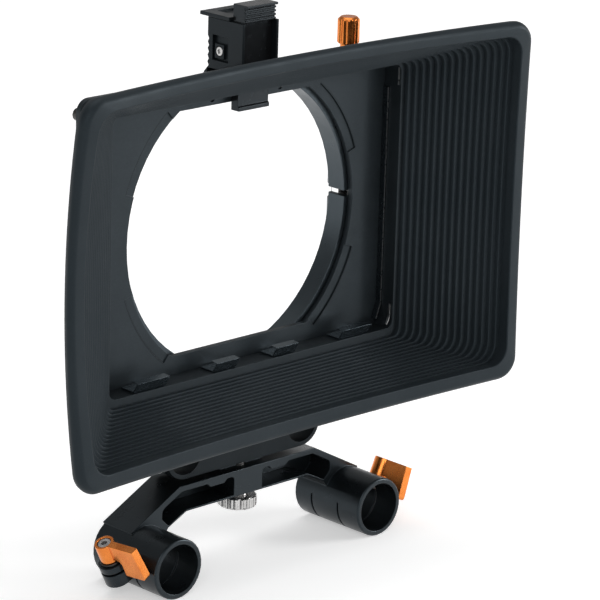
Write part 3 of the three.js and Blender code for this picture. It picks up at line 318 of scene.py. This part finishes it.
class Finish(ShaderTree):
    """One procedural material. Values that are the same all over sit on the shader's own sockets."""

    def __init__(self, name, metallic, specular=0.5, tint=WHITE):
        self.material = bpy.data.materials.new(name)
        self.material.use_nodes = True
        super().__init__(self.material.node_tree)
        self.shader = self.tree.nodes["Principled BSDF"]
        self.coordinates = self.add("ShaderNodeTexCoord").outputs["Object"]
        self.normal = None
        self.feed(self.shader.inputs["Metallic"], metallic)
        self.feed(self.shader.inputs["Specular IOR Level"], specular)
        self.feed(self.shader.inputs["Specular Tint"], (*tint, 1))

    def place(self, size, stretch=(1, 1, 1)):
        """Coordinates counted in features of a size in millimetres, each drawn out stretch times."""
        mapping = self.add("ShaderNodeMapping")
        self.feed(mapping.inputs["Scale"], [1 / (size * MM * times) for times in stretch])
        self.feed(mapping.inputs["Vector"], self.coordinates)
        return mapping.outputs["Vector"]

    def noise(self, size, detail=2, stretch=(1, 1, 1)):
        node = self.add("ShaderNodeTexNoise")
        self.feed(node.inputs["Scale"], 1.0)
        self.feed(node.inputs["Detail"], detail)
        self.feed(node.inputs["Vector"], self.place(size, stretch))
        return node.outputs["Fac"]

    def bands(self, pitch):
        """Waves that follow each other up Z."""
        node = self.add("ShaderNodeTexWave", bands_direction="Z")
        # A wave texture repeats every 2 pi / 20 of its own units
        self.feed(node.inputs["Scale"], math.pi / 10)
        self.feed(node.inputs["Vector"], self.place(pitch))
        return node.outputs["Fac"]

    def tones(self, factor, dark, light, start=NOISE_LOW, end=NOISE_HIGH):
        """factor from start to end, spread over two colours."""
        ramp = self.add("ShaderNodeValToRGB")
        for element, position, colour in zip(ramp.color_ramp.elements, (start, end), (dark, light)):
            element.position = position
            element.color = (*colour, 1)
        self.feed(ramp.inputs["Fac"], factor)
        return ramp.outputs["Color"]

    def shaded(self, colour, shade, share=1.0):
        """colour times shade, in that share."""
        node = self.add("ShaderNodeMix", data_type="RGBA", blend_type="MULTIPLY")
        # A Mix node's colours are its inputs 6 and 7 and its output 2
        self.feed(node.inputs[0], share)
        self.feed(node.inputs[6], colour)
        self.feed(node.inputs[7], shade)
        return node.outputs[2]

    def colour(self, colour):
        self.feed(self.shader.inputs["Base Color"], colour)

    def roughness(self, factor, low, high):
        self.feed(self.shader.inputs["Roughness"], self.ranged(factor, low, high))

    def bump(self, height, strength, distance):
        """Adds relief, over any relief added before; distance is in millimetres."""
        node = self.add("ShaderNodeBump")
        self.feed(node.inputs["Strength"], strength)
        self.feed(node.inputs["Distance"], distance * MM)
        self.feed(node.inputs["Height"], height)
        if self.normal is not None:
            self.feed(node.inputs["Normal"], self.normal)
        self.normal = node.outputs["Normal"]
        self.feed(self.shader.inputs["Normal"], self.normal)


# Colours

def grey(value, warmth=0.0):
    """A grey that leans to red by its warmth."""
    return (value * (1 + warmth), value, value * (1 - warmth))


def cool(value):
    """A grey leaning to blue, as black anodising and dark moulding do in the photograph."""
    return tuple(value * share for share in COOL_SHARES)


COOL_TINT = cool(0.87)


# Finishes

def moulded_hood():
    """Matt dark plastic with a fine grain, clouded as a moulding is."""
    finish = Finish("moulded_hood", metallic=0.0, specular=0.21, tint=COOL_TINT)
    base = finish.tones(finish.noise(size=26, detail=4), HOOD_DARK, HOOD_LIGHT)
    speckle = finish.tones(finish.noise(size=0.75, detail=3), HOOD_SPECKLE, WHITE)
    finish.colour(finish.shaded(base, speckle, share=0.6))
    finish.roughness(finish.noise(size=9, detail=5), low=0.44, high=0.54)
    finish.bump(finish.noise(size=0.55), strength=0.35, distance=0.05)
    finish.bump(finish.noise(size=7, detail=3), strength=0.15, distance=0.10)
    return finish.material


def black_anodising(name, tone, rough, stretch, shine=0.2, paints_lobe_shadow=False):
    """Satin black on machined aluminium; stretch draws the cutter marks out along an axis."""
    finish = Finish(name, metallic=0.0, specular=shine, tint=COOL_TINT)
    marks = finish.noise(size=0.16, stretch=stretch)
    base = finish.tones(finish.noise(size=18, detail=4), cool(tone * 0.8), cool(tone * 1.2))
    colour = finish.shaded(base, finish.tones(marks, BLACK_MARKS, WHITE), share=0.55)
    colour = finish.shaded(colour, finish.tones(finish.noise(size=0.85), BLACK_GRAIN, WHITE))
    # Painted shadow: a dark line along the foot of each lobe's outer wall on the back plate
    if paints_lobe_shadow:
        colour = finish.shaded(colour, finish.tones(lobe_painted_shadow(finish), WHITE, [LOBE_PAINTED_SHADOW] * 3, 0.0, 1.0))
    finish.colour(colour)
    finish.roughness(finish.noise(size=6, detail=4), low=rough - 0.05, high=rough + 0.07)
    finish.bump(marks, strength=0.16, distance=0.02)
    finish.bump(finish.noise(size=0.3), strength=0.14, distance=0.03)
    finish.bump(finish.noise(size=0.9), strength=0.16, distance=0.03)
    return finish.material


def lobe_painted_shadow(finish):
    """1 along the foot of each lobe's outer wall on the back plate, where a shadow line is painted, and 0
    elsewhere.
    """
    calculate = finish.calculate
    axes = finish.add("ShaderNodeSeparateXYZ")
    finish.feed(axes.inputs["Vector"], finish.coordinates)
    across = calculate("ABSOLUTE", axes.outputs["X"])
    up = calculate("ABSOLUTE", calculate("SUBTRACT", axes.outputs["Z"], LENS_HEIGHT * MM))
    squares = calculate("ADD", calculate("MULTIPLY", across, across), calculate("MULTIPLY", up, up))
    off = calculate("ABSOLUTE", calculate("SUBTRACT", calculate("SQRT", squares), LOBE_RADIUS * MM))
    line = finish.ranged(off, low=1.0, high=0.0, start=LOBE_SHADOW_LINE * MM / 2, end=LOBE_SHADOW_LINE * MM)
    turn = calculate("ABSOLUTE", calculate("SUBTRACT", calculate("ARCTAN2", up, across), LOBE_TURN))
    return calculate("MULTIPLY", line, calculate("LESS_THAN", turn, LOBE_HALF_SWEEP))


def orange_anodising():
    """Orange metal, with cutter marks drawn out up Z."""
    finish = Finish("orange_anodising", metallic=0.95)
    marks = finish.noise(size=0.14, stretch=(1, 1, 14))
    base = finish.tones(finish.noise(size=5, detail=4), ORANGE_DARK, ORANGE_LIGHT)
    finish.colour(finish.shaded(base, finish.tones(marks, ORANGE_MARKS, WHITE), share=0.5))
    finish.roughness(finish.noise(size=2.5, detail=4), low=0.20, high=0.30)
    finish.bump(marks, strength=0.15, distance=0.02)
    return finish.material


def steel(name, light, rough):
    """Bright or blackened steel with fine turning marks."""
    finish = Finish(name, metallic=1.0)
    cloud = finish.noise(size=2.2, detail=4)
    finish.colour(finish.tones(cloud, grey(light * 0.78, warmth=0.01), grey(light, warmth=0.01)))
    finish.roughness(finish.noise(size=1.1, detail=4), low=rough - 0.06, high=rough + 0.08)
    finish.bump(finish.bands(TURNING_PITCH), strength=0.10, distance=0.015)
    finish.bump(finish.noise(size=0.2), strength=0.10, distance=0.02)
    return finish.material


def threaded_steel(name, light):
    """Dark steel with the crests of a thread round Z."""
    finish = Finish(name, metallic=1.0)
    crest = finish.bands(THREAD_PITCH)
    finish.colour(finish.tones(crest, grey(light * 0.4), grey(light), start=0.2, end=0.8))
    finish.roughness(finish.noise(size=0.8, detail=3), low=0.30, high=0.42)
    finish.bump(crest, strength=0.8, distance=THREAD_PITCH * THREAD_DEPTH_SHARE)
    return finish.material


def spring_leaf(name, light, rough):
    """Blackened spring steel: glossy, with rolling marks along X."""
    finish = Finish(name, metallic=0.9)
    marks = finish.noise(size=0.12, detail=3, stretch=(30, 1, 1))
    finish.colour(finish.tones(marks, cool(light * 0.7), cool(light)))
    finish.roughness(finish.noise(size=3, detail=4), low=rough - 0.05, high=rough + 0.08)
    finish.bump(marks, strength=0.12, distance=0.015)
    return finish.material


def glossy_slide():
    """Smooth black plastic with faint waves."""
    finish = Finish("glossy_slide", metallic=0.0, specular=0.3, tint=COOL_TINT)
    finish.colour(finish.tones(finish.noise(size=8, detail=4), SLIDE_DARK, SLIDE_LIGHT))
    finish.roughness(finish.noise(size=3.5, detail=5), low=0.16, high=0.30)
    finish.bump(finish.noise(size=1.4, detail=3), strength=0.10, distance=0.05)
    return finish.material


# Hood

Outline = namedtuple("Outline", "side bottom top radius")


def flat_ring(outline):
    """Points of a rounded rectangle in X and Z, from the upper right corner round by the left."""
    side, bottom, top, radius = outline
    corners = (
        (side - radius, top - radius, 0), (radius - side, top - radius, 1),
        (radius - side, bottom + radius, 2), (side - radius, bottom + radius, 3),
    )
    arcs = []
    for x, z, quarter in corners:
        turns = [(quarter + i / CORNER_FACETS) * math.pi / 2 for i in range(CORNER_FACETS + 1)]
        arcs.append([(x + radius * math.cos(turn), z + radius * math.sin(turn)) for turn in turns])
    points = []
    for arc, after in zip(arcs, arcs[1:] + arcs[:1]):
        points.extend(arc)
        (x0, z0), (x1, z1) = arc[-1], after[0]
        for i in range(1, EDGE_FACETS):
            share = i / EDGE_FACETS
            points.append((x0 + (x1 - x0) * share, z0 + (z1 - z0) * share))
    return points


def hood_ring(outline, depth):
    """The outline at that depth in front of the stage, bowed out and scooped in the depth's share."""
    middle = (outline.top + outline.bottom) / 2
    deep = depth / SCOOP_DEPTH
    ring = []
    for x, z in flat_ring(outline):
        across = x / outline.side
        up = (z - middle) / (outline.top - middle)
        high = (z - SCOOP_HEIGHT) / (outline.top - SCOOP_HEIGHT)
        scoop = SCOOP_TOP * high * high - SCOOP_SIDE * (1 - across * across)
        ring.append(Vector((
            x + across * BOW_SIDE * deep * (1 - up * up),
            -depth - scoop * deep,
            z + up * BOW_ENDS * deep * (1 - across * across),
        )) * MM)
    return ring


def step_outline(n):
    """The outline n steps out from the channel; n may fall between two steps."""
    return Outline(
        side=CHANNEL_HALF_WIDTH + STEP_OUT_SIDE * n,
        bottom=CHANNEL_BOTTOM - FIRST_STEP_BOTTOM - STEP_OUT_BOTTOM * (n - 1),
        top=CHANNEL_TOP + STEP_OUT_TOP * n,
        radius=OPENING_RADIUS + (RIM_RADIUS_INSIDE - OPENING_RADIUS) * n / HOOD_STEPS,
    )


def grown(outline, by):
    """The outline moved out on all sides; a negative distance moves it in."""
    return Outline(outline.side + by, outline.bottom - by, outline.top + by, outline.radius + by)


def quarter_round(radius, facets):
    """How far in and how far back each point of a rounded edge lies, from its foot to its crest."""
    turns = [i / facets * math.pi / 2 for i in range(facets + 1)]
    return [(radius * (1 - math.cos(turn)), radius * (1 - math.sin(turn))) for turn in turns]


def step_rings():
    """Up the steps inside: each one's foot, then its rounded nose."""
    rings = []
    for n in range(1, HOOD_STEPS):
        rings.append(hood_ring(step_outline(n), max(HOOD_REAR, STEP_DEPTH * (n - 1))))
        for out, back in quarter_round(STEP_NOSE, NOSE_FACETS):
            rings.append(hood_ring(step_outline(n + out / STEP_OUT_SIDE), STEP_DEPTH * n - back))
    return rings


def rim_rings():
    """Over the rim, from its inside to the lip behind its outer band."""
    inner = step_outline(HOOD_STEPS)
    outer = Outline(inner.side + RIM_SIDE, inner.bottom - RIM_BOTTOM, inner.top + RIM_TOP, RIM_RADIUS_OUTSIDE)
    rings = [hood_ring(inner, STEP_DEPTH * (HOOD_STEPS - 1))]
    for out, back in quarter_round(RIM_INNER_ROUND, NOSE_FACETS):
        rings.append(hood_ring(grown(inner, out), HOOD_DEPTH - back))
    for inward, back in reversed(quarter_round(RIM_ROUND, ROUND_FACETS)):
        rings.append(hood_ring(grown(outer, -inward), HOOD_DEPTH - back))
    rear = HOOD_DEPTH - RIM_BAND
    for inward, depth in ((RIM_TAPER, rear + RIM_TAPER), (2 * RIM_TAPER, rear), (RIM_LIP, rear)):
        rings.append(hood_ring(grown(outer, -inward), depth))
    return rings


def skin_rings():
    """Back along the skin outside and over the flange to the stage."""
    first = step_outline(1)
    skin = Outline(first.side + SKIN_SIDE, first.bottom - SKIN_ENDS, first.top + SKIN_ENDS, SKIN_RADIUS)
    flange = Outline(FLANGE_HALF_WIDTH, FLANGE_BOTTOM, FLANGE_TOP, FLANGE_RADIUS)
    return [
        hood_ring(skin, FLANGE_THICKNESS),
        hood_ring(flange, FLANGE_THICKNESS),
        hood_ring(flange, HOOD_REAR),
    ]


def hood_shell(material):
    """The CAD's hood again, with finer corners, rounded step noses and a rounded rim."""
    rings = step_rings() + rim_rings() + skin_rings()
    points = [point for ring in rings for point in ring]
    piece = mesh_piece("hood_shell", points, ring_faces(len(rings), len(rings[0]), closed=True), material)
    piece.data.shade_smooth()
    piece.data.set_sharp_from_angle(angle=HOOD_SHARP_ANGLE)
    weigh_normals(piece, HOOD_NORMAL_WEIGHT, keep_sharp=True)
    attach(piece, "box")
    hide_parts("hood")


# Ring's lip

def ring_lip(material):
    """Closes the clearance between the clamp ring and the back plate, and is open where the ring is split."""
    start = math.asin((SPLIT_RISE + SPLIT_GAP / 2) / LIP_INSIDE)
    end = 2 * math.pi + math.asin((SPLIT_RISE - SPLIT_GAP / 2) / LIP_INSIDE)
    section = (
        (LIP_INSIDE, LIP_FRONT), (LIP_INSIDE, LIP_REAR),
        (LIP_OUTSIDE, LIP_REAR), (LIP_OUTSIDE, LIP_FRONT),
    )
    points = []
    for i in range(LIP_FACETS + 1):
        turn = start + (end - start) * i / LIP_FACETS
        for radius, y in section:
            points.append(Vector((radius * math.cos(turn), y, LENS_HEIGHT + radius * math.sin(turn))) * MM)
    piece = mesh_piece("ring_lip", points, ring_faces(LIP_FACETS + 1, len(section)), material)
    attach(piece, "box")


# Thin leaves on the side walls

def leaf(name, side, path, front, rear, material):
    """A ribbon along path, its inner face a thickness nearer the middle of the box."""
    section = ((0, front), (0, rear), (LEAF_THICKNESS, rear), (LEAF_THICKNESS, front))
    points = [Vector((side * (x - inward), y, z)) * MM for x, z in path for inward, y in section]
    piece = mesh_piece(name, points, ring_faces(len(path), len(section)), material)
    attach(piece, "box")


def side_leaves(material):
    leaf("strip_edge_left", -1, STRIP_EDGE, STRIP_EDGE_FRONT, STRIP_EDGE_REAR, material)
    leaf("strip_edge_right", 1, STRIP_EDGE, STRIP_EDGE_FRONT, STRIP_EDGE_REAR, material)
    leaf("end_leaf", 1, END_LEAF, END_LEAF_FRONT, END_LEAF_REAR, material)
    leaf("top_leaf", 1, TOP_LEAF, TOP_LEAF_FRONT, TOP_LEAF_REAR, material)


# Latch spring

def latch_coil(material):
    """The CAD spring's own mesh, shaded smooth, in place of the hidden CAD spring."""
    mesh = nodes["latch_spring"].data.copy()
    mesh.materials.clear()
    mesh.materials.append(material)
    mesh.shade_smooth()
    piece = placed("latch_coil", mesh)
    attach(piece, "box")
    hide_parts("latch_spring")
    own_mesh(piece)


# Softened edges, as modifiers on the CAD pieces

def smooth_shading():
    """A node group that shades every face smooth."""
    group = bpy.data.node_groups.new("smooth_shading", "GeometryNodeTree")
    group.interface.new_socket("Geometry", in_out="INPUT", socket_type="NodeSocketGeometry")
    group.interface.new_socket("Geometry", in_out="OUTPUT", socket_type="NodeSocketGeometry")
    entry = group.nodes.new("NodeGroupInput")
    smooth = group.nodes.new("GeometryNodeSetShadeSmooth")
    out = group.nodes.new("NodeGroupOutput")
    group.links.new(entry.outputs[0], smooth.inputs["Geometry"])
    group.links.new(smooth.outputs["Geometry"], out.inputs[0])
    return group


SMOOTH = smooth_shading()


def soften(piece, width):
    """Welds the piece, joins its flat triangles into faces, rounds its edges and smooths its round sides."""
    weld = piece.modifiers.new("weld", "WELD")
    weld.merge_threshold = WELD_DISTANCE * MM
    flat = piece.modifiers.new("flat", "DECIMATE")
    flat.decimate_type = "DISSOLVE"
    flat.angle_limit = FLAT_ANGLE
    shade = piece.modifiers.new("shade", "NODES")
    shade.node_group = SMOOTH
    bevel = piece.modifiers.new("edges", "BEVEL")
    bevel.limit_method = "ANGLE"
    bevel.angle_limit = SHARP_ANGLE
    bevel.width = width * MM
    bevel.segments = EDGE_SEGMENTS
    bevel.use_clamp_overlap = False
    bevel.miter_outer = "MITER_ARC"
    weigh_normals(piece, EDGE_NORMAL_WEIGHT, keep_sharp=False)


def dress(names, material, edge):
    """Gives CAD nodes their material and, unless edge is zero, softened edges."""
    for name in names:
        piece = nodes[name]
        piece.data.materials.clear()
        piece.data.materials.append(material)
        if edge:
            soften(piece, edge)


def named(start):
    """The CAD nodes whose names start so."""
    return sorted(name for name in nodes if name.startswith(start))


def dress_black():
    """The anodised pieces, each finish by its tone, roughness, cutter marks and shine."""
    stage = black_anodising("stage_anodising", 0.016, 0.40, stretch=(20, 1, 1), shine=0.3)
    # The back plate's anodising, with a shadow line painted at the foot of each lobe's outer wall
    plate = black_anodising("plate_anodising_painted_shadow", 0.020, 0.40, stretch=(20, 1, 1), shine=0.33, paints_lobe_shadow=True)
    ring = black_anodising("ring_anodising", 0.009, 0.32, stretch=(1, 14, 1), shine=0.9)
    latch = black_anodising("latch_anodising", 0.014, 0.34, stretch=(1, 1, 12))
    foot = black_anodising("foot_anodising", 0.013, 0.36, stretch=(16, 1, 1))
    bracket = black_anodising("bracket_anodising", 0.009, 0.30, stretch=(1, 16, 1), shine=0.45)
    strip = black_anodising("strip_anodising", 0.008, 0.26, stretch=(1, 1, 24), shine=0.6)
    dress(["stage_frame"], stage, MACHINED_EDGE)
    dress(["back_plate"], plate, MACHINED_EDGE)
    dress(["clamp_ring"], ring, MACHINED_EDGE)
    ring_lip(ring)
    dress(["latch_housing", "latch_cap"], latch, MACHINED_EDGE)
    dress(["rod_foot"], foot, FOOT_EDGE)
    dress(["rod_bracket"], bracket, CASTING_EDGE)
    dress(named("side_strip"), strip, NO_EDGE)


def dress_metal():
    """Screws, washers, wheel, threads, clips and springs, each steel by its brightness and roughness."""
    black_steel = steel("black_screws", 0.085, 0.36)
    bright_steel = steel("bright_steel", 0.62, 0.26)
    dress(named("body_screw") + named("ring_screw") + named("foot_screw"), black_steel, SCREW_EDGE)
    dress(named("latch_ear_screw") + named("lever_washer"), black_steel, FINE_EDGE)
    dress(named("latch_screw") + named("lever_screw"), bright_steel, SCREW_EDGE)
    dress(["lock_wheel"], steel("wheel_steel", 0.66, 0.24), WHEEL_EDGE)
    dress(["lock_stud"], threaded_steel("stud_thread", 0.30), FINE_EDGE)
    dress(["clamp_screw"], threaded_steel("screw_thread", 0.16), FINE_EDGE)
    dress(named("filter_clip"), spring_leaf("clip_leaf", 0.16, 0.22), FINE_EDGE)
    side_leaves(steel("leaf_steel", 0.50, 0.30))
    latch_coil(steel("spring_steel", 0.35, 0.30))


def dress_all():
    hood_shell(moulded_hood())
    dress_black()
    dress(["latch_slide"], glossy_slide(), MACHINED_EDGE)
    dress(["clamp_knob", "lever_left", "lever_right"], orange_anodising(), ORANGE_EDGE)
    dress_metal()


# Stage: floor, world and lamps

def floor_paper():
    """White paper, which glows for the camera, and more so further out, where the lamps don't reach."""
    finish = Finish("floor_paper", metallic=0.0, specular=FLOOR_GLOSS)
    finish.colour((FLOOR_TONE, FLOOR_TONE, FLOOR_TONE, 1))
    finish.feed(finish.shader.inputs["Roughness"], FLOOR_ROUGHNESS)
    away = finish.add("ShaderNodeVectorMath", operation="LENGTH")
    finish.feed(away.inputs[0], finish.coordinates)
    needed = finish.ranged(away.outputs["Value"], NEAR_GLOW, FAR_GLOW, NEAR_FLOOR, FAR_FLOOR)
    glow = finish.add("ShaderNodeEmission")
    finish.feed(glow.inputs["Color"], (*WHITE, 1))
    finish.feed(glow.inputs["Strength"], finish.calculate("MULTIPLY", finish.light_path_mask(), needed))
    total = finish.add("ShaderNodeAddShader")
    finish.feed(total.inputs[0], finish.shader.outputs[0])
    finish.feed(total.inputs[1], glow.outputs[0])
    finish.feed(finish.tree.nodes["Material Output"].inputs["Surface"], total.outputs[0])
    return finish.material


def floor():
    half = FLOOR_SIZE / 2
    z = cad_low.z - FLOOR_GAP
    corners = [(-half, -half, z), (half, -half, z), (half, half, z), (-half, half, z)]
    piece = mesh_piece("floor", corners, [(0, 1, 2, 3)], floor_paper())


def world():
    """White for the camera and dim as light. Gloss sees white near the horizon and the dim room overhead."""
    scene.world = bpy.data.worlds.new("studio")
    scene.world.use_nodes = True
    sky = ShaderTree(scene.world.node_tree)
    axes = sky.add("ShaderNodeSeparateXYZ")
    sky.feed(axes.inputs["Vector"], sky.add("ShaderNodeTexCoord").outputs["Generated"])
    seen = sky.ranged(axes.outputs["Z"], low=1.0, high=ROOM_LIGHT, start=BACKDROP_TOP, end=ROOM_BOTTOM)
    path = sky.add("ShaderNodeLightPath")
    backdrop = sky.calculate("MAXIMUM", seen, path.outputs["Is Camera Ray"])
    strength = sky.ranged(sky.light_path_mask(), low=ROOM_LIGHT, high=backdrop, start=0.0, end=1.0)
    background = sky.tree.nodes["Background"]
    sky.feed(background.inputs["Color"], (*WHITE, 1))
    sky.feed(background.inputs["Strength"], strength)


def lamp(name, place, size, power):
    """A square soft box that looks at the middle of the object."""
    data = bpy.data.lights.new(name, "AREA")
    data.shape = "SQUARE"
    data.size = size
    data.energy = power
    box = placed(name, data)
    box.location = place
    box.rotation_mode = "QUATERNION"
    box.rotation_quaternion = ((cad_low + cad_high) / 2 - place).to_track_quat("-Z", "Y")


def lamps():
    lamp("key", KEY_PLACE, KEY_SIZE, KEY_POWER)
    lamp("top", TOP_PLACE, TOP_SIZE, TOP_POWER)
    lamp("fill", FILL_PLACE, FILL_SIZE, FILL_POWER)


# Camera

def camera():
    data = bpy.data.cameras.new("camera")
    data.sensor_fit = "HORIZONTAL"
    data.sensor_width = CAMERA_SENSOR
    data.lens = CAMERA_LENS
    data.clip_start = CAMERA_NEAR * MM
    data.clip_end = CAMERA_FAR * MM
    back = Vector((
        math.sin(CAMERA_YAW) * math.cos(CAMERA_PITCH),
        -math.cos(CAMERA_YAW) * math.cos(CAMERA_PITCH),
        math.sin(CAMERA_PITCH),
    ))
    level = Vector((math.cos(CAMERA_YAW), math.sin(CAMERA_YAW), 0))
    above = back.cross(level)
    right = math.cos(CAMERA_ROLL) * level + math.sin(CAMERA_ROLL) * above
    turn = Matrix((right, back.cross(right), back)).transposed()
    scene.camera = placed("camera", data)
    scene.camera.matrix_world = Matrix.Translation(CAMERA_PLACE * MM) @ turn.to_4x4()


camera()
dress_all()
floor()
world()
lamps()
scene.view_settings.view_transform = "Standard"
